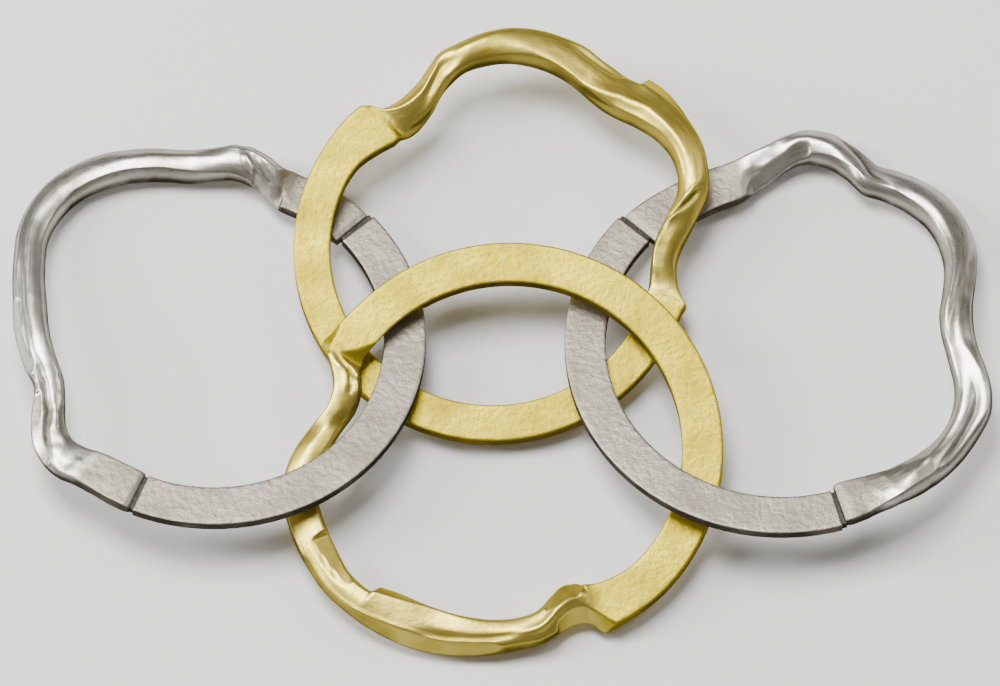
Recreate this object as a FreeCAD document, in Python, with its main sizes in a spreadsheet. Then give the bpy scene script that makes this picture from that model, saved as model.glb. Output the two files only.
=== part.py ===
import FreeCAD, Part
import Sketcher

import math
import os

# Four-band finger puzzle ring, opened out flat: two silver bands at the sides
# and two gold bands between them, linked in a closed chain.
# Every band is a plain flat shank on one side and a woven, wavy bar on the
# other. Each band is drawn about its own centre, with its axis along Z, and is
# then laid in place. Angles turn from +X towards +Y in the band's own plane.

doc = FreeCAD.newDocument("puzzle_ring")
sheet = doc.addObject("Spreadsheet::Sheet", "sizes")
sheet_aliases = []


def keep(**values):
    """Put named driving dimensions (millimetres and degrees) in the sheet."""
    for alias, value in values.items():
        sheet_aliases.append(alias)
        row = len(sheet_aliases)
        sheet.set("A%d" % row, alias)
        sheet.set("B%d" % row, str(value))
        sheet.setAlias("B%d" % row, alias)


def size(alias):
    return float(sheet.get(alias))


# Metal sections. The silver bands are the thin outer pair of the closed ring,
# and the gold bands are the thicker inner pair.
keep(silver_thickness=0.66, silver_bar_width=1.95, silver_bar_height=1.6, silver_edge=0.08,
     tongue_thickness=0.74, seam_turn=1.3, seam_recess=0.08, solder_edge=0.04)
keep(gold_thickness=1.0, gold_bar_width=1.95, gold_bar_height=1.7, gold_edge=0.12)

# Where each band lies: its centre, and by how many degrees its far side is up.
keep(silver_left_x=-15.78, silver_left_y=-0.01, silver_left_z=2.2, silver_left_tilt=-6.9)
keep(silver_right_x=15.39, silver_right_y=-0.26, silver_right_z=2.23, silver_right_tilt=-6.9)
keep(gold_top_x=-0.5, gold_top_y=5.34, gold_top_z=2.19, gold_top_tilt=6.9)
keep(gold_bottom_x=0.48, gold_bottom_y=-6.51, gold_bottom_z=2.26, gold_bottom_tilt=7.0)

# The plain shank of each band: its radii, and the angles of its two ends.
keep(silver_left_inner=9.32, silver_left_outer=11.63, silver_left_from=-112.5, silver_left_to=41.3)
keep(silver_right_inner=9.66, silver_right_outer=11.92, silver_right_from=138.7, silver_right_to=286.1)
keep(gold_top_inner=8.91, gold_top_outer=10.95, gold_top_from=131.0, gold_top_to=345.6)
keep(gold_bottom_inner=9.45, gold_bottom_outer=11.7, gold_bottom_from=-62.5, gold_bottom_to=149.0)

# The flat tongues that the silver waves end in, up to the soldered seams:
# radii, and the angle that each tongue turns through.
keep(silver_left_upper_inner=9.05, silver_left_upper_outer=11.4, silver_left_upper_turn=25.0)
keep(silver_left_lower_inner=9.25, silver_left_lower_outer=11.6, silver_left_lower_turn=15.0)
keep(silver_right_upper_inner=9.15, silver_right_upper_outer=11.55, silver_right_upper_turn=26.0)
keep(silver_right_lower_inner=9.35, silver_right_lower_outer=11.75, silver_right_lower_turn=13.0)
doc.recompute()


def band_place(band, turn=0.0):
    """Where a piece drawn about its band's centre lies, turned about its axis."""
    centre = FreeCAD.Vector(size(band + "_x"), size(band + "_y"), size(band + "_z"))
    tilt = FreeCAD.Rotation(FreeCAD.Vector(1, 0, 0), size(band + "_tilt"))
    about_axis = FreeCAD.Rotation(FreeCAD.Vector(0, 0, 1), turn)
    return FreeCAD.Placement(centre, tilt * about_axis)


def origin_plane(body, role):
    for feature in body.Origin.OriginFeatures:
        if feature.Role == role:
            return feature
    raise ValueError("no origin plane " + role)


def corner_line(start, end):
    return Part.LineSegment(FreeCAD.Vector(start[0], start[1], 0), FreeCAD.Vector(end[0], end[1], 0))


def arc_bar(label, inner, outer, thickness, sweep, edge):
    """A flat bar bent to an arc: a rectangle turned about the band's axis.

    The sizes are expressions on the sheet. The bar starts on the XZ plane, and
    its long edges are broken by a small chamfer.
    """
    body = doc.addObject("PartDesign::Body", label)
    sketch = body.newObject("Sketcher::SketchObject", label + "_section")
    sketch.AttachmentSupport = (origin_plane(body, "XZ_Plane"), [""])
    sketch.MapMode = "FlatFace"
    corners = [(9.0, -0.4), (11.0, -0.4), (11.0, 0.4), (9.0, 0.4)]
    for index in range(4):
        sketch.addGeometry(corner_line(corners[index], corners[(index + 1) % 4]), False)
    for index in range(4):
        sketch.addConstraint(Sketcher.Constraint("Coincident", index, 2, (index + 1) % 4, 1))
    for index, direction in enumerate(["Horizontal", "Vertical", "Horizontal", "Vertical"]):
        sketch.addConstraint(Sketcher.Constraint(direction, index))
    driving = [
        (Sketcher.Constraint("DistanceX", -1, 1, 3, 2, 9.0), inner),
        (Sketcher.Constraint("DistanceX", -1, 1, 0, 2, 11.0), outer),
        (Sketcher.Constraint("DistanceY", 0, 2, 1, 2, 0.8), thickness),
        (Sketcher.Constraint("DistanceY", -1, 1, 1, 2, 0.4), "(%s) / 2" % thickness),
    ]
    for constraint, expression in driving:
        number = sketch.addConstraint(constraint)
        sketch.setExpression("Constraints[%d]" % number, expression)
    doc.recompute()
    turned = body.newObject("PartDesign::Revolution", label + "_turn")
    turned.Profile = sketch
    turned.ReferenceAxis = (sketch, ["V_Axis"])
    turned.setExpression("Angle", sweep)
    doc.recompute()
    long_edges = []
    for number, one_edge in enumerate(turned.Shape.Edges, start=1):
        if one_edge.Curve.TypeId == "Part::GeomCircle":
            long_edges.append("Edge%d" % number)
    broken = body.newObject("PartDesign::Chamfer", label + "_edges")
    broken.Base = (turned, long_edges)
    broken.setExpression("Size", edge)
    body.Tip = broken
    return body


def section_wire(angle, radius, rise, width, height, lean):
    """A rounded rectangle across the bar, in the plane through the band's axis."""
    corner = 0.42 * min(width, height)
    flat_x = width / 2 - corner
    flat_z = height / 2 - corner
    turn = FreeCAD.Placement(FreeCAD.Vector(), FreeCAD.Rotation(FreeCAD.Vector(0, 0, 1), angle))
    move = FreeCAD.Placement(FreeCAD.Vector(radius, 0, rise), FreeCAD.Rotation(FreeCAD.Vector(0, 1, 0), lean))
    place = turn.multiply(move)

    def on_corner(side_x, side_z, around):
        around = math.radians(around)
        local = FreeCAD.Vector(side_x * flat_x + corner * math.cos(around), 0,
                               side_z * flat_z + corner * math.sin(around))
        return place.multVec(local)

    edges = []
    quadrants = [(1, 1, 0), (-1, 1, 90), (-1, -1, 180), (1, -1, 270)]
    for index, (side_x, side_z, start) in enumerate(quadrants):
        first = on_corner(side_x, side_z, start)
        middle = on_corner(side_x, side_z, start + 45)
        last = on_corner(side_x, side_z, start + 90)
        next_x, next_z, next_start = quadrants[(index + 1) % 4]
        edges.append(Part.Arc(first, middle, last).toShape())
        edges.append(Part.LineSegment(last, on_corner(next_x, next_z, next_start)).toShape())
    return Part.Wire(edges)


def wave_bar(label, band, metal, stations):
    """The woven bar, lofted through sections across it.

    A station is (angle, out, rise, wide, high, lean): out is how far the bar's
    middle lies outside the shank's middle radius, rise is its height over the
    shank's plane, wide and high are shares of the metal's full bar, and lean
    turns the section about the bar.
    """
    middle_radius = (size(band + "_inner") + size(band + "_outer")) / 2
    full_width = size(metal + "_bar_width")
    full_height = size(metal + "_bar_height")
    wires = []
    for angle, out, rise, wide, high, lean in stations:
        wires.append(section_wire(angle, middle_radius + out, rise, wide * full_width,
                                  high * full_height, lean))
    bar = doc.addObject("Part::Feature", label)
    bar.Shape = Part.makeLoft(wires, True, False)
    return bar


def joined(label, pieces, place):
    """One solid piece, made of the overlapping shapes it was forged from."""
    piece = doc.addObject("Part::MultiFuse", label)
    piece.Shapes = pieces
    piece.Placement = place
    return piece


silver_left_stations = [
    (62, -0.35, 0.0, 0.95, 0.4, 0),
    (69, -0.3, 0.05, 1.05, 0.6, 0),
    (75, 0.0, 0.25, 1.05, 0.85, 10),
    (82, 0.45, 0.35, 1.0, 1.0, 15),
    (90, 0.6, 0.2, 0.95, 1.0, 5),
    (98, 0.6, 0.0, 0.95, 1.0, -5),
    (108, 1.2, -0.05, 0.95, 1.0, -10),
    (120, 1.85, -0.1, 1.0, 1.0, -10),
    (132, 2.2, -0.1, 1.0, 1.0, 0),
    (144, 1.75, -0.1, 1.0, 1.0, 10),
    (156, 0.7, 0.2, 1.0, 1.0, 15),
    (168, -0.1, 0.45, 1.0, 1.0, 10),
    (180, -0.5, 0.5, 1.0, 1.0, 0),
    (192, -0.75, 0.35, 0.95, 1.0, -10),
    (200, -0.85, 0.1, 0.9, 1.0, -15),
    (208, -0.25, -0.2, 1.0, 1.0, -10),
    (216, 0.35, -0.3, 1.1, 0.95, 0),
    (225, 0.1, -0.15, 1.1, 0.8, 5),
    (231, -0.05, 0.0, 1.05, 0.6, 0),
    (238, -0.05, 0.0, 0.95, 0.4, 0),
]
silver_right_stations = [
    (-66, -0.25, 0.0, 0.95, 0.4, 0),
    (-59, -0.2, 0.0, 1.05, 0.6, 0),
    (-52, 0.0, -0.1, 1.05, 0.85, 5),
    (-44, 0.2, -0.25, 1.0, 1.0, 10),
    (-36, 0.45, -0.35, 0.95, 1.0, 10),
    (-28, 0.45, -0.3, 0.95, 1.0, 0),
    (-20, 0.3, -0.1, 1.05, 1.0, -10),
    (-12, -0.1, 0.1, 1.05, 1.0, -10),
    (-4, -0.75, 0.35, 1.0, 1.0, 0),
    (4, -1.1, 0.45, 0.95, 1.0, 5),
    (12, -1.0, 0.4, 0.95, 1.0, 10),
    (20, -0.4, 0.2, 1.0, 1.0, 10),
    (28, 0.4, 0.0, 1.05, 1.0, 5),
    (36, 1.0, -0.2, 1.05, 1.0, 0),
    (44, 1.3, -0.2, 1.05, 1.0, -5),
    (52, 1.3, -0.22, 1.0, 1.0, -10),
    (59, 0.95, -0.15, 1.0, 1.0, -10),
    (65, 0.75, -0.1, 1.05, 1.0, 0),
    (71, 1.2, 0.05, 1.05, 1.0, 10),
    (77, 1.65, 0.2, 1.0, 1.0, 10),
    (84, 1.6, 0.25, 1.0, 1.0, 0),
    (91, 0.8, 0.2, 1.1, 0.95, 0),
    (98, 0.05, 0.1, 1.1, 0.75, 0),
    (106, -0.35, 0.05, 1.05, 0.55, 0),
    (117, -0.45, 0.0, 0.95, 0.4, 0),
]
gold_top_stations = [
    (-19, -0.15, 0.0, 0.75, 0.5, 0),
    (-11, -0.45, 0.0, 0.8, 0.7, 0),
    (-3, -0.4, 0.15, 0.7, 0.95, 0),
    (4, 0.0, 0.4, 0.9, 0.95, -10),
    (11, 0.85, 0.45, 0.95, 0.95, -15),
    (18, 1.7, 0.45, 0.9, 1.0, -10),
    (26, 2.15, 0.3, 0.95, 1.0, 0),
    (34, 2.2, 0.1, 1.1, 1.0, 10),
    (42, 1.95, -0.1, 1.35, 0.95, 15),
    (48, 1.7, -0.2, 1.5, 0.9, 10),
    (53, 1.3, -0.25, 1.2, 0.95, 5),
    (60, 1.45, -0.3, 1.1, 1.0, 0),
    (68, 1.8, -0.3, 1.15, 1.0, 0),
    (76, 1.9, -0.2, 1.15, 1.0, 0),
    (84, 1.8, 0.0, 1.1, 1.0, 0),
    (92, 1.55, 0.15, 1.0, 1.0, 0),
    (99, 1.15, 0.2, 0.9, 1.0, 0),
    (106, 0.4, 0.1, 1.0, 1.0, 0),
    (113, -0.45, 0.0, 1.0, 1.0, 0),
    (120, -0.95, -0.1, 1.05, 0.95, 0),
    (127, -0.95, -0.05, 1.25, 0.8, 0),
    (133, -0.75, 0.0, 1.4, 0.6, 0),
    (140, -0.55, 0.0, 1.1, 0.5, 0),
    (148, -0.35, 0.0, 0.75, 0.4, 0),
]
gold_bottom_stations = [
    (142, -0.35, 0.0, 0.8, 0.4, 0),
    (149, -0.5, 0.2, 0.9, 0.65, 0),
    (155, -0.75, 0.35, 0.9, 0.75, -10),
    (161, -1.15, 0.2, 0.8, 0.75, -10),
    (166, -1.1, -0.2, 0.8, 0.8, 0),
    (172, -0.5, -0.6, 0.9, 0.75, 5),
    (179, 0.2, -0.5, 1.0, 0.8, 10),
    (186, 0.9, -0.4, 1.0, 0.8, 5),
    (193, 1.2, -0.35, 1.0, 0.8, 0),
    (201, 1.2, -0.2, 1.0, 0.9, 0),
    (210, 1.3, -0.1, 0.95, 1.0, -5),
    (218, 1.4, 0.0, 0.9, 1.0, -10),
    (224, 1.35, 0.05, 0.85, 1.0, -10),
    (230, 0.95, 0.1, 1.2, 1.0, -5),
    (237, 0.75, 0.1, 1.35, 0.95, 0),
    (246, 0.5, 0.05, 1.3, 0.95, 5),
    (255, 0.25, 0.0, 1.15, 1.0, 5),
    (264, 0.0, -0.05, 1.0, 1.0, 0),
    (272, -0.2, -0.05, 0.9, 1.0, 0),
    (280, -0.45, 0.0, 0.95, 1.0, -5),
    (286, -1.05, 0.1, 1.1, 0.9, -5),
    (292, -1.25, 0.1, 1.25, 0.75, 0),
    (298, -1.05, 0.05, 1.2, 0.6, 0),
    (306, -0.6, 0.0, 0.85, 0.4, 0),
]


def turned_place(angle):
    return FreeCAD.Placement(FreeCAD.Vector(), FreeCAD.Rotation(FreeCAD.Vector(0, 0, 1), angle))


def silver_band(band, ends, stations):
    """The four pieces of a silver band: shank, wave with its tongues, and two solder seams.

    The band was sawn at both ends of its shank to link it with the gold bands,
    and soldered again. The ends are named in turning order, after the shank.
    """
    in_sheet = "sizes." + band
    recess = "sizes.seam_recess"
    seam_turn = size("seam_turn")
    seam_starts = [size(band + "_to"), size(band + "_from") - seam_turn]
    last_turn = size("%s_%s_turn" % (band, ends[1]))
    tongue_starts = [seam_starts[0] + seam_turn, seam_starts[1] - last_turn]

    shank = arc_bar(band + "_shank", in_sheet + "_inner", in_sheet + "_outer",
                    "sizes.silver_thickness", "%s_to - %s_from" % (in_sheet, in_sheet),
                    "sizes.silver_edge")
    shank.Placement = band_place(band, size(band + "_from"))

    forged = [wave_bar(band + "_bar", band, "silver", stations)]
    for end, start in zip(ends, tongue_starts):
        of_tongue = "%s_%s" % (in_sheet, end)
        tongue = arc_bar("%s_%s_tongue" % (band, end), of_tongue + "_inner", of_tongue + "_outer",
                         "sizes.tongue_thickness", of_tongue + "_turn", "sizes.silver_edge")
        tongue.Placement = turned_place(start)
        forged.append(tongue)
    wave = joined(band + "_wave", forged, band_place(band))

    pieces = [shank, wave]
    for end, start in zip(ends, seam_starts):
        solder = arc_bar("%s_solder_%s" % (band, end), "%s_inner + %s" % (in_sheet, recess),
                         "%s_outer - %s" % (in_sheet, recess),
                         "sizes.silver_thickness - 2 * " + recess, "sizes.seam_turn",
                         "sizes.solder_edge")
        solder.Placement = band_place(band, start)
        pieces.append(solder)
    return pieces


def gold_band(band, stations):
    """A gold band in one casting: its shank and its wave have no seam."""
    in_sheet = "sizes." + band
    shank = arc_bar(band + "_shank", in_sheet + "_inner", in_sheet + "_outer",
                    "sizes.gold_thickness", "%s_to - %s_from" % (in_sheet, in_sheet),
                    "sizes.gold_edge")
    shank.Placement = turned_place(size(band + "_from"))
    wave = wave_bar(band + "_bar", band, "gold", stations)
    return [joined(band + "_band", [shank, wave], band_place(band))]


sub_parts = silver_band("silver_left", ("upper", "lower"), silver_left_stations)
sub_parts += silver_band("silver_right", ("lower", "upper"), silver_right_stations)
sub_parts += gold_band("gold_top", gold_top_stations)
sub_parts += gold_band("gold_bottom", gold_bottom_stations)
doc.recompute()

for item in doc.Objects:
    if "Invalid" in item.State or "Error" in item.State:
        raise RuntimeError("%s is %s" % (item.Label, item.State))
for piece in sub_parts:
    if piece.Shape.isNull() or not piece.Shape.isValid() or len(piece.Shape.Solids) != 1:
        raise RuntimeError("%s is not one valid solid" % piece.Label)

os.makedirs("parts", exist_ok=True)
for piece in sub_parts:
    piece.Shape.exportStep("parts/%s.step" % piece.Label)
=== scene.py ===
import math

import bmesh
import bpy
from mathutils import Matrix, Vector, noise


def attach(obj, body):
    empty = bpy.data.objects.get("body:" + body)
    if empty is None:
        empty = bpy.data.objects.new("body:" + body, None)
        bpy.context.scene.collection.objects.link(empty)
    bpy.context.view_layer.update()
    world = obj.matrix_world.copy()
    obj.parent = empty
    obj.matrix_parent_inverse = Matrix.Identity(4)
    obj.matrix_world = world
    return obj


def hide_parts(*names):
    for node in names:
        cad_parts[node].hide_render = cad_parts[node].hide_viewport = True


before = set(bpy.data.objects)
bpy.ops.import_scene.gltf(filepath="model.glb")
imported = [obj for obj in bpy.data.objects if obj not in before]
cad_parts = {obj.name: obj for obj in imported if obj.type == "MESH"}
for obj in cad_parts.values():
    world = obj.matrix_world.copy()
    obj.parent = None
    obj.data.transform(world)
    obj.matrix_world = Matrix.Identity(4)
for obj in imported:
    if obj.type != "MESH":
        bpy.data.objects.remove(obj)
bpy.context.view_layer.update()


# ---- Left silver band, plain shank ------------------------------------------
# A flat cast silver bar bent to about two fifths of a circle. Its faces keep
# the fine lumps of the casting, and its long edges are only lightly broken.

MM = 0.001
FLAT_SHARE = 0.86
FLAT_STEPS = 13
CORNER_STEPS = 5
SIDES = 4 * (FLAT_STEPS + CORNER_STEPS)
MARK_FADE = 0.35
FLAT_RUN_IN = 0.12
FLAT_RUN_OUT = 0.8
FLAT_LIFT = 0.5
POLISH_BLEND = 2
CHIP_BLEND = 2
CHIP_SCALE = 1.05
CHIP_LEVEL = 0.45
# Painted shade: how strongly a sunk mark darkens the metal, per millimetre of sinking.
SUNK_SHADE = 3.5
STEEP, LEVEL = 0.05, 0.82


def outline():
    """Unit rounded square: the points that every bar's section is forged from."""
    points = []
    corner = 1 - FLAT_SHARE
    for quarter in range(4):
        turn = Matrix.Rotation(math.radians(90 * quarter), 2)
        for index in range(FLAT_STEPS):
            points.append(turn @ Vector((1, FLAT_SHARE * (-1 + 2 * index / FLAT_STEPS))))
        for index in range(CORNER_STEPS):
            around = math.radians(90 * index / CORNER_STEPS)
            points.append(turn @ Vector((FLAT_SHARE + corner * math.cos(around),
                                         FLAT_SHARE + corner * math.sin(around))))
    return points


UNIT_OUTLINE = outline()


def between(stations, angle):
    """The station's values at any angle: a smooth cubic through the listed ones."""
    last = len(stations) - 1
    index = 0
    while index < last - 1 and angle > stations[index + 1][0]:
        index += 1
    a, b = stations[index], stations[index + 1]
    before = stations[max(index - 1, 0)]
    after = stations[min(index + 2, last)]
    span = b[0] - a[0]
    share = min(max((angle - a[0]) / span, 0), 1)
    square, cube = share ** 2, share ** 3
    values = []
    for k in range(1, len(a)):
        slope_a = (b[k] - before[k]) / max(b[0] - before[0], 0.01) * span
        slope_b = (after[k] - a[k]) / max(after[0] - a[0], 0.01) * span
        values.append((2 * cube - 3 * square + 1) * a[k] + (cube - 2 * square + share) * slope_a
                      + (3 * square - 2 * cube) * b[k] + (cube - square) * slope_b)
    return values


def along_path(path, angle):
    """Where a mark's line stands round the bar at this angle, in degrees, or None."""
    for (start, side_a), (end, side_b) in zip(path, path[1:]):
        if start <= angle <= end:
            return side_a + (side_b - side_a) * (angle - start) / (end - start)
    return None


def smooth(low, high, value):
    share = min(max((value - low) / (high - low), 0), 1)
    return share * share * (3 - 2 * share)


def section_at(angle, stations, marks, flats):
    """The bar at one angle: its station, the lines of its marks, the cuts of its flats."""
    lines = []
    for path, spread, height, *ends in marks:
        side = along_path(path, angle)
        if side is not None:
            share = (angle - path[0][0]) / (path[-1][0] - path[0][0])
            rise_in, fall_out = ends or (MARK_FADE, MARK_FADE)
            height *= smooth(0, rise_in, share) * (1 - smooth(1 - fall_out, 1, share))
            lines.append((side, spread, height))
    cuts = []
    for start, end, side_a, side_b, reach_a, reach_b in flats:
        if start <= angle <= end:
            share = (angle - start) / (end - start)
            side = math.radians(side_a + (side_b - side_a) * share)
            runout = 1 - smooth(0, FLAT_RUN_IN, share) * (1 - smooth(FLAT_RUN_OUT, 1, share))
            cuts.append((Vector((math.cos(side), math.sin(side))),
                         reach_a + (reach_b - reach_a) * share + FLAT_LIFT * runout))
    return between(stations, angle), lines, cuts


def forged_bar(name, band, stations, steps, marks=(), flats=(), chipped=(), polished=None,
               hammer=0.0, grain=0.0):
    """A bar spun about its band's axis, then forged to the stations across it.

    A station is (angle, radius, rise, width, thickness, lean, roundness) in
    degrees and millimetres; roundness 0 is square and 1 is oval. A mark is a
    raised or sunk line, (path, spread, height), where the path gives the side
    of the bar it is on: 0 outside, 90 top, 180 inside. The shares of its length
    over which it comes in and dies out may follow. A flat is filed away: (from,
    to, side at each end, reach from the middle at each end). A chipped stretch
    is (from, to, depth).
    """
    first, last = stations[0][0], stations[-1][0]
    closed = last - first > 359.9
    bm = bmesh.new()
    around = bm.verts.layers.int.new("around")
    hollow_wall_shade = bm.verts.layers.float.new("hollow_wall_shade")
    polish = bm.verts.layers.float.new("polish")
    lay = bm.verts.layers.float_vector.new("lay")
    ring = bmesh.ops.create_circle(bm, segments=SIDES, radius=1)["verts"]
    for index, vert in enumerate(ring):
        vert[around] = index
        turn = 2 * math.pi * index / SIDES
        vert.co = Vector((10 + math.cos(turn), 0, math.sin(turn)))
    bmesh.ops.rotate(bm, verts=ring, matrix=Matrix.Rotation(math.radians(first), 3, "Z"))
    bmesh.ops.spin(bm, geom=bm.verts[:] + bm.edges[:], axis=(0, 0, 1), cent=(0, 0, 0),
                   angle=math.radians(last - first), steps=steps, use_merge=closed)
    if not closed:
        open_edges = [edge for edge in bm.edges if edge.is_boundary]
        bmesh.ops.holes_fill(bm, edges=open_edges, sides=0)
    rings = {}
    for vert in bm.verts:
        angle = math.degrees(math.atan2(vert.co.y, vert.co.x))
        while angle < first - 0.01:
            angle += 360
        while angle > last + 0.01:
            angle -= 360
        angle = round(angle, 3)
        if angle not in rings:
            rings[angle] = section_at(angle, stations, marks, flats)
        (radius, rise, width, thick, lean, roundness), lines, cuts = rings[angle]
        unit = UNIT_OUTLINE[vert[around] % SIDES]
        oval = unit.normalized()
        side = math.degrees(math.atan2(unit.y, unit.x))
        spot = Vector((width / 2 * (unit.x + (oval.x - unit.x) * roundness),
                       thick / 2 * (unit.y + (oval.y - unit.y) * roundness)))
        sunk = 0.0
        for line_side, spread, height in lines:
            off = abs((side - line_side + 180) % 360 - 180)
            push = height * math.exp(-(off / spread) ** 1.4)
            spot += oval * push
            sunk -= min(push, 0)
        for direction, reach in cuts:
            over = spot.dot(direction) - reach
            if over > 0:
                spot -= direction * over
        lean = math.radians(lean)
        out = radius + spot.x * math.cos(lean) - spot.y * math.sin(lean)
        up = rise + spot.x * math.sin(lean) + spot.y * math.cos(lean)
        theta = math.radians(angle)
        vert.co = Vector((out * math.cos(theta), out * math.sin(theta), up))
        # Painted shade: sunk marks get a weight that darkens and dulls the metal in the shader.
        vert[hollow_wall_shade] = sunk * SUNK_SHADE
        vert[lay] = Vector((theta * radius, side / 60, 0))
        vert[polish] = 0.0
        if polished:
            begin, finish = polished
            vert[polish] = (smooth(begin - POLISH_BLEND, begin + POLISH_BLEND, angle)
                            * (1 - smooth(finish - POLISH_BLEND, finish + POLISH_BLEND, angle)))
    bm.normal_update()
    moves = []
    for vert in bm.verts:
        fine = noise.noise(vert.co * 3.3) + 0.8 * noise.noise(vert.co * 6.5)
        move = grain * fine * (1 - 0.7 * vert[polish])
        if hammer:
            broad = noise.noise(vert.co * 0.55) + 0.5 * noise.noise(vert.co * 1.3)
            move += hammer * broad * vert[polish]
        if chipped:
            angle = math.degrees(vert[lay].x / max(math.hypot(vert.co.x, vert.co.y), 1))
            for start, end, depth in chipped:
                fade = (smooth(start, start + CHIP_BLEND, angle)
                        * (1 - smooth(end - CHIP_BLEND, end, angle)))
                if fade > 0:
                    nearest = noise.voronoi(vert.co * CHIP_SCALE)[0][0]
                    move += depth * fade * (nearest - CHIP_LEVEL)
        moves.append(vert.normal * move)
    for vert, move in zip(bm.verts, moves):
        vert.co += move
    centre, tilt = band
    bmesh.ops.transform(bm, verts=bm.verts, matrix=Matrix.Rotation(math.radians(tilt), 4, "X"))
    bmesh.ops.translate(bm, verts=bm.verts, vec=centre)
    bmesh.ops.scale(bm, verts=bm.verts, vec=(MM, MM, MM))
    bmesh.ops.recalc_face_normals(bm, faces=bm.faces)
    bm.normal_update()
    # Painted shade: steep flanks, less so those facing down, are darkened on top of the sunk
    # hollows; the weight is stored for the shader.
    for vert in bm.verts:
        below = smooth(0.2, 0.7, -vert.normal.z)
        flank_shade = (1 - smooth(STEEP, LEVEL, vert.normal.z)) * (1 - 0.9 * below)
        vert[hollow_wall_shade] = min(vert[hollow_wall_shade] + flank_shade, 1)
    mesh = bpy.data.meshes.new(name)
    bm.to_mesh(mesh)
    bm.free()
    for polygon in mesh.polygons:
        polygon.use_smooth = True
    piece = bpy.data.objects.new(name, mesh)
    bpy.context.collection.objects.link(piece)
    return piece


def shader_nodes(material):
    material.use_nodes = True
    nodes = material.node_tree.nodes
    nodes.clear()
    output = nodes.new("ShaderNodeOutputMaterial")
    shader = nodes.new("ShaderNodeBsdfPrincipled")
    material.node_tree.links.new(shader.outputs["BSDF"], output.inputs["Surface"])
    return nodes, material.node_tree.links, shader


def metal_skin_group():
    """Cast grain, mottling, dark specks and drawn streaks, as masks and a height."""
    group = bpy.data.node_groups.new("metal_skin", "ShaderNodeTree")
    for label, value in (("Grain Size", 3000.0), ("Mottle Size", 450.0), ("Speck Size", 3500.0)):
        socket = group.interface.new_socket(label, in_out="INPUT", socket_type="NodeSocketFloat")
        socket.default_value = value
    for label in ("Height", "Mottle", "Specks", "Streaks"):
        group.interface.new_socket(label, in_out="OUTPUT", socket_type="NodeSocketFloat")
    nodes, links = group.nodes, group.links
    inputs = nodes.new("NodeGroupInput")
    outputs = nodes.new("NodeGroupOutput")
    coords = nodes.new("ShaderNodeTexCoord")

    def cloud(size, detail, rough):
        texture = nodes.new("ShaderNodeTexNoise")
        texture.inputs["Detail"].default_value = detail
        texture.inputs["Roughness"].default_value = rough
        links.new(coords.outputs["Object"], texture.inputs["Vector"])
        links.new(inputs.outputs[size], texture.inputs["Scale"])
        return texture.outputs["Fac"]

    links.new(cloud("Grain Size", 5, 0.6), outputs.inputs["Height"])
    links.new(cloud("Mottle Size", 4, 0.55), outputs.inputs["Mottle"])
    spots = nodes.new("ShaderNodeMapRange")
    spots.inputs["From Min"].default_value = 0.57
    spots.inputs["From Max"].default_value = 0.70
    links.new(cloud("Speck Size", 3, 0.7), spots.inputs["Value"])
    links.new(spots.outputs["Result"], outputs.inputs["Specks"])
    drawn = nodes.new("ShaderNodeAttribute")
    drawn.attribute_name = "lay"
    squeeze = nodes.new("ShaderNodeVectorMath")
    squeeze.operation = "MULTIPLY"
    squeeze.inputs[1].default_value = (0.6, 5, 1)
    links.new(drawn.outputs["Vector"], squeeze.inputs[0])
    streaks = nodes.new("ShaderNodeTexNoise")
    streaks.inputs["Scale"].default_value = 1.6
    streaks.inputs["Detail"].default_value = 4
    links.new(squeeze.outputs["Vector"], streaks.inputs["Vector"])
    links.new(streaks.outputs["Fac"], outputs.inputs["Streaks"])
    return group


METAL_SKIN = metal_skin_group()


def mixed(nodes, links, factor, first, second):
    """A colour between two: each is a plain colour or a socket."""
    mix = nodes.new("ShaderNodeMix")
    mix.data_type = "RGBA"
    for socket, value in ((mix.inputs[6], first), (mix.inputs[7], second)):
        if isinstance(value, tuple):
            socket.default_value = (*value, 1)
        else:
            links.new(value, socket)
    links.new(factor, mix.inputs[0])
    return mix.outputs[2]


def ranged(nodes, links, value, low, high, from_low=0.3, from_high=0.7):
    spread = nodes.new("ShaderNodeMapRange")
    links.new(value, spread.inputs["Value"])
    spread.inputs["From Min"].default_value = from_low
    spread.inputs["From Max"].default_value = from_high
    spread.inputs["To Min"].default_value = low
    spread.inputs["To Max"].default_value = high
    return spread.outputs["Result"]


def reckon(nodes, links, operation, first, second):
    step = nodes.new("ShaderNodeMath")
    step.operation = operation
    step.use_clamp = True
    for socket, value in zip(step.inputs, (first, second)):
        if isinstance(value, (int, float)):
            socket.default_value = value
        else:
            links.new(value, socket)
    return step.outputs["Value"]


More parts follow.
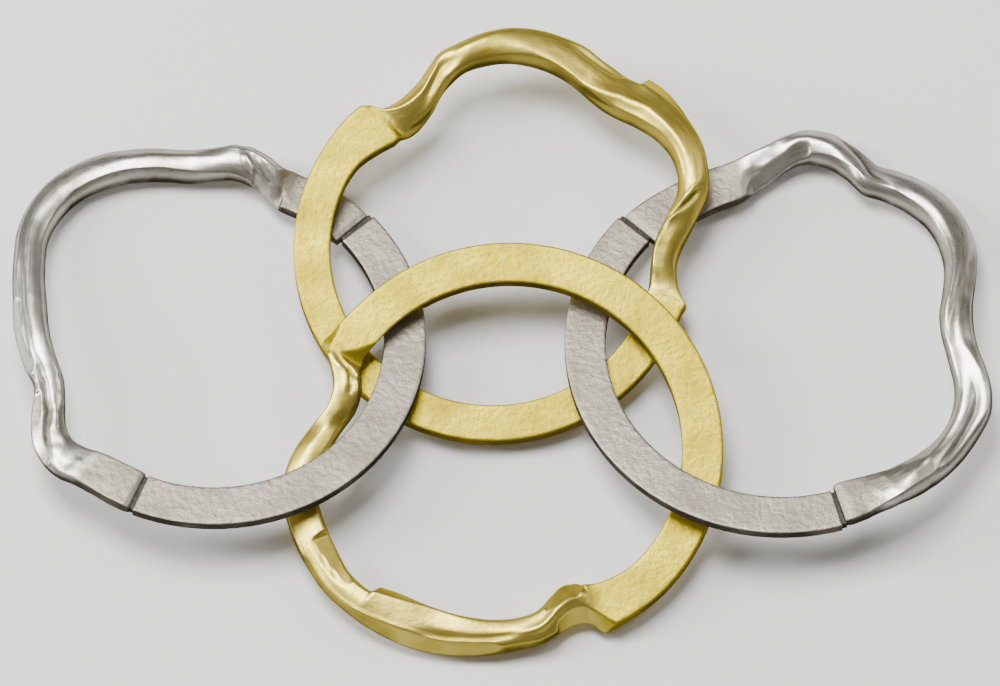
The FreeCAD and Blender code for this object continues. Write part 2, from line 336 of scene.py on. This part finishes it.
def metal(name, satin, satin_deep, bright, bright_deep, dark, edge, rough_satin, rough_bright,
          grain_size, grain_depth, bright_grain, speck_share):
    """Bare metal: satin where it is as cast, bright where it is polished, darkened by painted
    shade in its sunk hollows and on its steep flanks.
    """
    material = bpy.data.materials.new(name)
    nodes, links, shader = shader_nodes(material)
    skin = nodes.new("ShaderNodeGroup")
    skin.node_tree = METAL_SKIN
    skin.inputs["Grain Size"].default_value = grain_size
    mottle, streaks = skin.outputs["Mottle"], skin.outputs["Streaks"]
    polish = nodes.new("ShaderNodeAttribute")
    polish.attribute_name = "polish"
    shade_layer = nodes.new("ShaderNodeAttribute")
    shade_layer.attribute_name = "hollow_wall_shade"
    as_cast = mixed(nodes, links, ranged(nodes, links, mottle, 0, 1), satin, satin_deep)
    specks = reckon(nodes, links, "MULTIPLY", skin.outputs["Specks"], speck_share)
    as_cast = mixed(nodes, links, specks, as_cast, dark)
    buffed = mixed(nodes, links, ranged(nodes, links, mottle, 0, 1), bright, bright_deep)
    colour = mixed(nodes, links, polish.outputs["Fac"], as_cast, buffed)
    # Painted shade: the stored hollow and flank shade weight, broken up by the mottle, mixes the
    # colour toward the dark one.
    patchy_shade = reckon(nodes, links, "MULTIPLY", shade_layer.outputs["Fac"],
                    ranged(nodes, links, mottle, 0.75, 1.15))
    links.new(mixed(nodes, links, patchy_shade, colour, dark), shader.inputs["Base Color"])
    soft = ranged(nodes, links, mottle, rough_satin - 0.06, rough_satin + 0.06)
    shine = ranged(nodes, links, streaks, rough_bright - 0.05, rough_bright + 0.07)
    level = nodes.new("ShaderNodeMix")
    links.new(polish.outputs["Fac"], level.inputs["Factor"])
    links.new(soft, level.inputs["A"])
    links.new(shine, level.inputs["B"])
    dull = reckon(nodes, links, "MULTIPLY", patchy_shade, 0.15)
    rough = reckon(nodes, links, "ADD", level.outputs["Result"], dull)
    links.new(rough, shader.inputs["Roughness"])
    # Painted shade: the shaded parts lose their metal and, with no dielectric specular, turn to a
    # dark matte surface.
    shade_unmetal = reckon(nodes, links, "MULTIPLY", patchy_shade, 0.75)
    links.new(reckon(nodes, links, "SUBTRACT", 1, shade_unmetal), shader.inputs["Metallic"])
    shader.inputs["Specular IOR Level"].default_value = 0
    # Specular Tint near black: painted shade on the rims, darkening the metal's reflections at
    # grazing angles.
    shader.inputs["Specular Tint"].default_value = (*edge, 1)
    height = reckon(nodes, links, "MULTIPLY", skin.outputs["Height"],
                    ranged(nodes, links, polish.outputs["Fac"], 1, bright_grain, 0, 1))
    bump = nodes.new("ShaderNodeBump")
    bump.inputs["Strength"].default_value = 0.8
    bump.inputs["Distance"].default_value = grain_depth
    links.new(height, bump.inputs["Height"])
    links.new(bump.outputs["Normal"], shader.inputs["Normal"])
    return material


silver = metal("silver", satin=(0.36, 0.325, 0.262), satin_deep=(0.30, 0.266, 0.21),
               bright=(0.70, 0.68, 0.63), bright_deep=(0.50, 0.46, 0.37),
               dark=(0.045, 0.040, 0.030), edge=(0.06, 0.055, 0.045),
               rough_satin=0.48, rough_bright=0.29, grain_size=3000, grain_depth=0.00005,
               bright_grain=0.2, speck_share=0.25)

SILVER_LEFT = ((-15.78, -0.01, 2.2), -6.9)
SILVER_THICK = 0.66


def shank_stations(start, end, inner, outer, thick):
    middle, width = (inner + outer) / 2, outer - inner
    return [(angle, middle, 0, width, thick, 0, 0) for angle in (start, (start + end) / 2, end)]


def place(piece, body, slot, material, *nodes):
    piece.data.materials.append(material)
    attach(piece, body)
    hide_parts(*nodes)


left_shank = forged_bar("silver_left_shank_bar", SILVER_LEFT,
                        shank_stations(-112.5, 41.3, 9.32, 11.63, SILVER_THICK), 300, grain=0.010)
place(left_shank, "silver_left", "silver", silver, "silver_left_shank")


# ---- Left silver band, woven wave -------------------------------------------
# A round-edged silver bar, bent in and out and up and down, polished on its
# crests. Each end is hammered to a flat tongue that meets the shank.

silver_left_stations = [
    (42.6, 10.25, 0.02, 2.3, 0.6, 0, 0),
    (45, 10.25, 0.05, 2.35, 0.76, 0, 0),
    (55, 10.22, 0.04, 2.35, 0.74, 0, 0),
    (64, 10.15, 0.04, 2.3, 0.76, 0, 0.1),
    (68, 10.15, 0.1, 2.3, 0.95, 8, 0.2),
    (71, 10.25, 0.2, 2.2, 1.25, 25, 0.4),
    (75, 10.6, 0.32, 2.15, 1.45, 35, 0.6),
    (80, 10.95, 0.4, 2.1, 1.55, 25, 0.75),
    (85, 11.1, 0.35, 2.0, 1.6, 15, 0.8),
    (91, 11.0, 0.2, 1.85, 1.6, 5, 0.8),
    (98, 11.05, 0.0, 1.8, 1.6, -8, 0.75),
    (108, 11.62, 0.03, 1.85, 1.6, -12, 0.7),
    (120, 12.3, 0.0, 1.95, 1.6, -12, 0.7),
    (132, 12.6, -0.04, 1.95, 1.6, -8, 0.75),
    (144, 12.2, -0.05, 1.95, 1.6, -4, 0.8),
    (156, 11.2, 0.2, 1.95, 1.6, 0, 0.8),
    (168, 10.4, 0.4, 1.95, 1.6, -5, 0.75),
    (180, 9.98, 0.48, 1.95, 1.6, -10, 0.7),
    (190, 9.68, 0.4, 1.85, 1.55, -10, 0.7),
    (196, 9.5, 0.22, 1.7, 1.45, -5, 0.7),
    (200, 9.65, 0.1, 1.8, 1.45, 0, 0.7),
    (206, 10.15, -0.1, 2.1, 1.5, 5, 0.7),
    (213, 10.75, -0.25, 2.2, 1.5, 8, 0.7),
    (219, 10.95, -0.25, 2.2, 1.4, 5, 0.6),
    (224, 10.85, -0.15, 2.3, 1.15, 0, 0.4),
    (228, 10.65, 0.0, 2.3, 0.95, 0, 0.25),
    (232, 10.48, 0.04, 2.3, 0.8, 0, 0.08),
    (238, 10.42, 0.06, 2.32, 0.76, 0, 0),
    (244.5, 10.42, 0.05, 2.35, 0.76, 0, 0),
    (246.2, 10.42, 0.02, 2.3, 0.6, 0, 0),
]
silver_left_marks = [
    (((70, 150), (77, 100), (84, 55)), 14, 0.22),
    (((69, 100), (74, 92), (82, 50)), 15, -0.24),
    (((84, 95), (97, 80), (110, 95), (124, 110)), 30, 0.10),
    (((150, 55), (170, 62), (178, 72), (190, 60), (197, 48)), 11, -0.20),
    (((186, 95), (196, 60), (207, 88), (216, 58), (226, 20)), 12, -0.26),
    (((198, 60), (206, 45), (216, 30), (224, 5)), 14, 0.10),
    (((204, 120), (212, 110), (222, 120)), 14, 0.10),
]
silver_left_flats = [
    (166, 196.5, 50, 42, 0.86, 0.60),
    (197.5, 224, 56, 34, 0.74, 0.92),
    (66, 80, 118, 118, 0.46, 0.68),
]
left_wave = forged_bar("silver_left_wave_bar", SILVER_LEFT, silver_left_stations, 460,
                       silver_left_marks, silver_left_flats, polished=(70, 229),
                       chipped=((67, 84, 0.10), (208, 230, 0.08)), hammer=0.02, grain=0.007)
place(left_wave, "silver_left", "silver", silver, "silver_left_wave")


# ---- Left silver band, solder seams -----------------------------------------
# Thin seams of silver solder, coloured near black as painted shade of the gap at each joint and
# set a little below the faces on each side.
# They close the band at both tongues, where it was sawn open to be linked.

# Painted shade: the solder is coloured near black to stand for the shade in the gap at each joint.
solder_painted_shade = metal("solder_painted_shade", satin=(0.10, 0.095, 0.085), satin_deep=(0.05, 0.048, 0.042),
                    bright=(0.10, 0.095, 0.085), bright_deep=(0.05, 0.048, 0.042),
                    dark=(0.02, 0.02, 0.018), edge=(0.3, 0.3, 0.3),
                    rough_satin=0.6, rough_bright=0.6, grain_size=4000, grain_depth=0.00008,
                    bright_grain=1, speck_share=0.5)
SEAM_TURN = 1.3
RECESS = 0.08


def solder_seam(name, band, start, inner, outer):
    stations = shank_stations(start, start + SEAM_TURN, inner + RECESS, outer - RECESS,
                              SILVER_THICK - 2 * RECESS)
    return forged_bar(name, band, stations, 6, grain=0.02)


for end, start in (("upper", 41.3), ("lower", 246.2)):
    seam = solder_seam("silver_left_seam_" + end, SILVER_LEFT, start, 9.32, 11.63)
    place(seam, "silver_left", "solder", solder_painted_shade, "silver_left_solder_" + end)


# ---- Right silver band ------------------------------------------------------
# The same parts as the left band, in a slightly larger ring of cast silver:
# plain shank, woven wave with a hammered tongue at each end, solder seams.

SILVER_RIGHT = ((15.39, -0.26, 2.23), -6.9)
right_shank = forged_bar("silver_right_shank_bar", SILVER_RIGHT,
                         shank_stations(138.7, 286.1, 9.66, 11.92, SILVER_THICK), 300, grain=0.010)
place(right_shank, "silver_right", "silver", silver, "silver_right_shank")

silver_right_stations = [
    (-72.6, 10.55, 0.02, 2.3, 0.6, 0, 0),
    (-70.6, 10.55, 0.05, 2.4, 0.76, 0, 0),
    (-66, 10.55, 0.04, 2.35, 0.78, 0, 0.1),
    (-60, 10.62, 0.0, 2.25, 0.95, 5, 0.3),
    (-52, 10.85, -0.1, 2.15, 1.35, 10, 0.6),
    (-44, 11.05, -0.25, 2.0, 1.6, 10, 0.75),
    (-36, 11.2, -0.35, 1.9, 1.6, 10, 0.8),
    (-28, 11.25, -0.3, 1.9, 1.6, 5, 0.8),
    (-21, 11.2, -0.1, 2.15, 1.6, 0, 0.8),
    (-15, 10.9, 0.05, 2.2, 1.6, 0, 0.8),
    (-9, 10.4, 0.2, 2.1, 1.6, 0, 0.8),
    (-3, 9.95, 0.35, 1.9, 1.6, 0, 0.8),
    (4, 9.7, 0.45, 1.85, 1.6, 0, 0.8),
    (12, 9.85, 0.4, 1.9, 1.6, -12, 0.75),
    (20, 10.45, 0.2, 1.98, 1.6, -26, 0.65),
    (28, 11.2, 0.0, 2.05, 1.6, -24, 0.65),
    (36, 11.75, -0.15, 2.08, 1.6, -18, 0.7),
    (44, 12.05, -0.2, 2.08, 1.6, -18, 0.7),
    (52, 12.0, -0.22, 2.0, 1.6, -16, 0.7),
    (59, 11.7, -0.03, 1.95, 1.55, -24, 0.75),
    (64, 11.45, 0.1, 2.05, 1.5, -30, 0.75),
    (67, 11.65, 0.15, 2.15, 1.5, -30, 0.75),
    (71, 12.05, 0.15, 2.1, 1.55, -22, 0.75),
    (77, 12.4, 0.2, 1.98, 1.6, -10, 0.8),
    (84, 12.35, 0.25, 1.98, 1.6, 0, 0.8),
    (89, 11.85, 0.22, 2.1, 1.5, 10, 0.7),
    (94, 11.25, 0.15, 2.2, 1.3, 20, 0.5),
    (98, 10.9, 0.1, 2.25, 1.1, 15, 0.35),
    (103, 10.5, 0.06, 2.35, 0.88, 5, 0.2),
    (108, 10.4, 0.04, 2.4, 0.78, 0, 0.05),
    (122, 10.35, 0.04, 2.4, 0.74, 0, 0),
    (135, 10.45, 0.05, 2.42, 0.76, 0, 0),
    (137.4, 10.5, 0.02, 2.36, 0.6, 0, 0),
]
silver_right_marks = [
    (((-58, 60), (-46, 80), (-34, 105), (-20, 120), (-8, 130)), 20, 0.14),
    (((-46, 40), (-34, 60), (-20, 78), (-10, 95)), 12, -0.22),
    (((-32, 20), (-22, 40), (-10, 60), (0, 85)), 18, 0.14),
    (((-4, 125), (10, 112), (26, 95)), 13, -0.12),
    (((12, 66), (22, 66), (30, 62)), 22, -0.14),
    (((14, 125), (34, 118), (48, 112), (60, 120)), 30, 0.12),
    (((56, 140), (63, 105), (69, 68), (78, 30)), 26, -0.28),
    (((70, 130), (76, 105), (82, 85), (92, 66)), 24, 0.14),
    (((84, 150), (90, 115), (98, 80)), 14, 0.18),
    (((86, 116), (94, 104), (103, 98)), 28, -0.16),
]
silver_right_flats = [
    (80, 103, 126, 112, 0.84, 0.42),
]
right_wave = forged_bar("silver_right_wave_bar", SILVER_RIGHT, silver_right_stations, 460,
                        silver_right_marks, silver_right_flats, polished=(-62, 101),
                        chipped=((87, 103, 0.07), (-62, -40, 0.06)), hammer=0.02, grain=0.007)
place(right_wave, "silver_right", "silver", silver, "silver_right_wave")
for end, start in (("lower", 286.1), ("upper", 137.4)):
    seam = solder_seam("silver_right_seam_" + end, SILVER_RIGHT, start, 9.66, 11.92)
    place(seam, "silver_right", "solder", solder_painted_shade, "silver_right_solder_" + end)


# ---- Upper gold band --------------------------------------------------------
# One casting: a flat satin shank that runs into a polished, twisted bar. The
# shank's face ends in a sharp corner on each side of the bar.

GOLD_TOP = ((-0.5, 5.34, 2.19), 6.9)
gold = metal("gold", satin=(0.52, 0.41, 0.032), satin_deep=(0.45, 0.345, 0.022),
             bright=(0.76, 0.61, 0.13), bright_deep=(0.62, 0.48, 0.08),
             dark=(0.11, 0.085, 0.014), edge=(0.20, 0.16, 0.05),
             rough_satin=0.46, rough_bright=0.36, grain_size=3200, grain_depth=0.00004,
             bright_grain=0.5, speck_share=0.35)

gold_top_stations = [
    (-25, 9.93, 0, 2.04, 1.0, 0, 0),
    (-19, 9.95, 0, 2.15, 1.02, 0, 0),
    (-16.4, 9.98, 0.0, 2.3, 1.08, 0, 0.05),
    (-15, 9.85, 0.0, 2.0, 1.15, 0, 0.2),
    (-11, 9.6, 0.0, 1.6, 1.3, 0, 0.6),
    (-6, 9.48, 0.1, 1.45, 1.5, 0, 0.8),
    (-1, 9.6, 0.25, 1.55, 1.6, 0, 0.85),
    (4, 9.95, 0.4, 1.8, 1.6, -10, 0.8),
    (9, 10.5, 0.45, 1.95, 1.6, -25, 0.75),
    (13, 11.05, 0.45, 2.0, 1.65, -30, 0.7),
    (17, 11.55, 0.45, 1.85, 1.7, -20, 0.7),
    (22, 11.9, 0.38, 1.8, 1.7, -10, 0.75),
    (28, 12.12, 0.25, 1.9, 1.7, -12, 0.7),
    (35, 12.05, 0.1, 2.1, 1.7, -14, 0.7),
    (42, 11.75, -0.1, 2.35, 1.6, -14, 0.65),
    (48.5, 11.42, -0.2, 2.45, 1.55, -14, 0.6),
    (54, 11.25, -0.25, 2.3, 1.6, -14, 0.6),
    (60, 11.35, -0.3, 2.15, 1.7, -14, 0.65),
    (68, 11.7, -0.3, 2.2, 1.7, -14, 0.7),
    (76, 11.85, -0.2, 2.15, 1.7, -14, 0.75),
    (84, 11.8, 0.0, 2.05, 1.7, -10, 0.75),
    (92, 11.5, 0.15, 1.9, 1.7, 0, 0.8),
    (99, 11.08, 0.2, 1.75, 1.7, 5, 0.8),
    (105, 10.6, 0.1, 2.0, 1.7, 15, 0.65),
    (107.5, 10.25, 0.05, 1.9, 1.65, 25, 0.65),
    (113, 9.5, -0.05, 1.95, 1.55, 35, 0.65),
    (119, 9.08, -0.15, 2.05, 1.45, 32, 0.6),
    (124, 9.0, -0.18, 2.1, 1.25, 22, 0.5),
    (127, 9.12, -0.14, 2.15, 1.1, 10, 0.3),
    (129, 9.36, -0.03, 2.42, 1.02, 0, 0.05),
    (131, 9.5, 0, 2.74, 1.0, 0, 0),
    (132, 9.55, 0, 2.82, 1.0, 0, 0),
    (138, 9.7, 0, 2.6, 1.0, 0, 0),
    (148, 9.88, 0, 2.15, 1.0, 0, 0),
    (165, 9.93, 0, 2.04, 1.0, 0, 0),
    (255, 9.93, 0, 2.04, 1.0, 0, 0),
    (335, 9.93, 0, 2.04, 1.0, 0, 0),
]
gold_top_marks = [
    (((-14, 105), (-6, 128), (2, 138), (10, 150)), 15, 0.12),
    (((8, 175), (13, 120), (17, 70)), 16, -0.30),
    (((4, 160), (11, 140), (16, 110), (20, 80)), 14, 0.16),
    (((16, 95), (24, 115), (35, 112), (43, 100), (51, 108), (62, 140), (76, 128), (90, 100)),
     18, 0.20),
    (((30, -4), (49.6, 6)), 26, 0.62, 0.95, 0.03),
    (((44, 150), (52, 150), (60, 170), (68, 180)), 16, -0.08),
    (((51, 40), (55, 48), (60, 55), (72, 62)), 10, -0.20),
    (((51, 25), (58, 32), (72, 40)), 12, 0.10),
    (((84, 60), (95, 70), (104, 60)), 16, 0.06),
    (((96, 128), (104, 112), (112, 100), (122, 108)), 15, 0.16),
    (((98, 95), (106, 70), (116, 65)), 14, -0.12),
    (((112, 130), (120, 125), (127, 128)), 14, -0.18),
]
top_band = forged_bar("gold_top_casting", GOLD_TOP, gold_top_stations, 720,
                      gold_top_marks, polished=(-17, 127), hammer=0.015, grain=0.005)
place(top_band, "gold_top", "gold", gold, "gold_top_band")


# ---- Lower gold band --------------------------------------------------------
# One gold casting like the upper band. Its bar dives from over the upper band
# to under the left silver shank.

GOLD_BOTTOM = ((0.48, -6.51, 2.26), 7.0)
gold_bottom_stations = [
    (110, 10.575, 0, 2.25, 1.0, 0, 0),
    (137, 10.575, 0, 2.25, 1.0, 0, 0),
    (146, 10.62, 0.02, 2.4, 1.02, 0, 0),
    (149.5, 10.72, 0.06, 2.5, 1.1, 0, 0.1),
    (151.2, 10.5, 0.12, 2.2, 1.2, 0, 0.3),
    (155, 9.95, 0.25, 1.9, 1.3, -5, 0.6),
    (160, 9.55, 0.2, 1.65, 1.3, -10, 0.7),
    (166, 9.6, -0.2, 1.6, 1.35, -8, 0.65),
    (172, 10.15, -0.6, 1.75, 1.25, -8, 0.65),
    (179, 10.85, -0.5, 1.95, 1.35, -5, 0.65),
    (186, 11.5, -0.4, 1.95, 1.35, 0, 0.6),
    (193, 11.85, -0.35, 1.95, 1.35, 0, 0.45),
    (199, 11.92, -0.22, 1.95, 1.45, -5, 0.4),
    (205, 11.97, -0.12, 1.95, 1.6, -5, 0.45),
    (212, 12.03, -0.08, 1.88, 1.7, -8, 0.5),
    (219, 12.1, 0.0, 1.75, 1.7, -10, 0.55),
    (226, 11.98, 0.05, 1.75, 1.7, -10, 0.5),
    (232, 11.72, 0.08, 2.05, 1.65, -6, 0.5),
    (239, 11.42, 0.1, 2.35, 1.6, -3, 0.5),
    (246, 11.15, 0.05, 2.5, 1.6, -2, 0.55),
    (255, 10.9, 0.0, 2.25, 1.7, -2, 0.6),
    (264, 10.65, -0.05, 1.98, 1.7, -2, 0.65),
    (272, 10.42, -0.05, 1.8, 1.7, 0, 0.75),
    (279, 10.18, 0.0, 1.85, 1.7, -8, 0.7),
    (285, 9.68, 0.1, 2.1, 1.6, -12, 0.65),
    (290, 9.4, 0.15, 2.3, 1.45, -12, 0.6),
    (294.5, 9.55, 0.1, 2.5, 1.25, -8, 0.4),
    (296.8, 10.05, 0.03, 2.95, 1.08, -2, 0.1),
    (299.5, 10.2, 0, 2.7, 1.0, 0, 0),
    (306, 10.38, 0, 2.45, 1.0, 0, 0),
    (318, 10.56, 0, 2.25, 1.0, 0, 0),
    (360, 10.575, 0, 2.25, 1.0, 0, 0),
    (470, 10.575, 0, 2.25, 1.0, 0, 0),
]
gold_bottom_marks = [
    (((149, 60), (152.5, 85), (155, 125), (157, 165)), 14, -0.16),
    (((152, 128), (157, 130), (163, 145)), 10, 0.14),
    (((152, 88), (157, 92), (162, 98)), 9, 0.14),
    (((152, 108), (157, 110), (162, 118)), 7, -0.16),
    (((158, 120), (168, 100), (180, 85), (190, 80)), 24, 0.06),
    (((198, 55), (209, 52), (221, 50), (233, 54), (247, 54), (262, 62), (276, 80)), 10, 0.16),
    (((203.5, 78), (206, 86), (214, 96), (223, 112)), 6, -0.12),
    (((203.5, 90), (206, 96), (214, 106), (222, 118)), 5, 0.09),
    (((203, 170), (204.5, 130), (206, 88)), 8, 0.08),
    (((226.6, 172), (248, 172)), 42, 0.46, 0.07, 0.8),
    (((230, 150), (240, 140), (254, 130), (268, 120)), 14, 0.08),
    (((240, 68), (252, 73), (264, 77), (278, 74)), 8, -0.16),
    (((243, 72), (250, 74), (258, 77)), 9, -0.10),
    (((268, 72), (281, 88), (288, 104), (294, 116), (302, 126)), 14, 0.22),
]
gold_bottom_flats = [
    (118, 153, 200, 199, 0.90, 0.92),
    (139, 153, 126, 104, 1.1, 0.3),
    (142, 153, 52, 40, 1.08, 0.84),
    (203.5, 225, 116, 116, 0.66, 0.90),
    (202, 278, 30, 38, 0.96, 0.84),
    (283, 300, 40, 58, 0.84, 0.50),
    (280, 297, 145, 140, 0.92, 0.66),
]
bottom_band = forged_bar("gold_bottom_casting", GOLD_BOTTOM, gold_bottom_stations, 720,
                         gold_bottom_marks, gold_bottom_flats, polished=(151, 297),
                         hammer=0.015, grain=0.005)
place(bottom_band, "gold_bottom", "gold", gold, "gold_bottom_band")


# ---- Floor, light and camera ------------------------------------------------
# A plain pale table top under three soft studio lights, with a distant camera
# that looks steeply down at the opened ring.

floor_bm = bmesh.new()
bmesh.ops.create_grid(floor_bm, x_segments=1, y_segments=1, size=3)
floor_mesh = bpy.data.meshes.new("table_top")
floor_bm.to_mesh(floor_mesh)
floor_bm.free()
floor = bpy.data.objects.new("table_top", floor_mesh)
bpy.context.collection.objects.link(floor)
paper = bpy.data.materials.new("white_paper")
nodes, links, paper_shader = shader_nodes(paper)
paper_shader.inputs["Base Color"].default_value = (0.93, 0.93, 0.93, 1)
paper_shader.inputs["Roughness"].default_value = 0.9
floor.data.materials.append(paper)


def softbox(name, at, wide, deep, power):
    data = bpy.data.lights.new(name, "AREA")
    data.shape = "RECTANGLE"
    data.size = wide
    data.size_y = deep
    data.energy = power
    lamp = bpy.data.objects.new(name, data)
    lamp.location = at
    lamp.rotation_euler = (-Vector(at)).to_track_quat("-Z", "Y").to_euler()
    bpy.context.collection.objects.link(lamp)


softbox("back_softbox", (-0.11, 0.17, 0.55), 0.25, 0.30, 4.5)
softbox("left_softbox", (-0.52, 0.06, 0.26), 0.13, 0.38, 3.6)
softbox("right_softbox", (0.42, 0.22, 0.46), 0.12, 0.20, 0.5)

world = bpy.data.worlds.new("studio")
bpy.context.scene.world = world
world.use_nodes = True
world.node_tree.nodes["Background"].inputs["Color"].default_value = (0.5, 0.48, 0.45, 1)
world.node_tree.nodes["Background"].inputs["Strength"].default_value = 0.38

ELEVATION = math.radians(68)
DISTANCE = 1.5
SEEN_WIDTH = 0.055
aim = Vector((-0.00008, -0.000165, 0.0023))
camera_data = bpy.data.cameras.new("camera")
camera_data.sensor_width = 36
camera_data.lens = 36 * DISTANCE / SEEN_WIDTH
camera_data.clip_start = 0.05
camera = bpy.data.objects.new("camera", camera_data)
camera.location = aim + DISTANCE * Vector((0, -math.cos(ELEVATION), math.sin(ELEVATION)))
camera.rotation_euler = (math.pi / 2 - ELEVATION, 0, 0)
bpy.context.collection.objects.link(camera)
bpy.context.scene.camera = camera
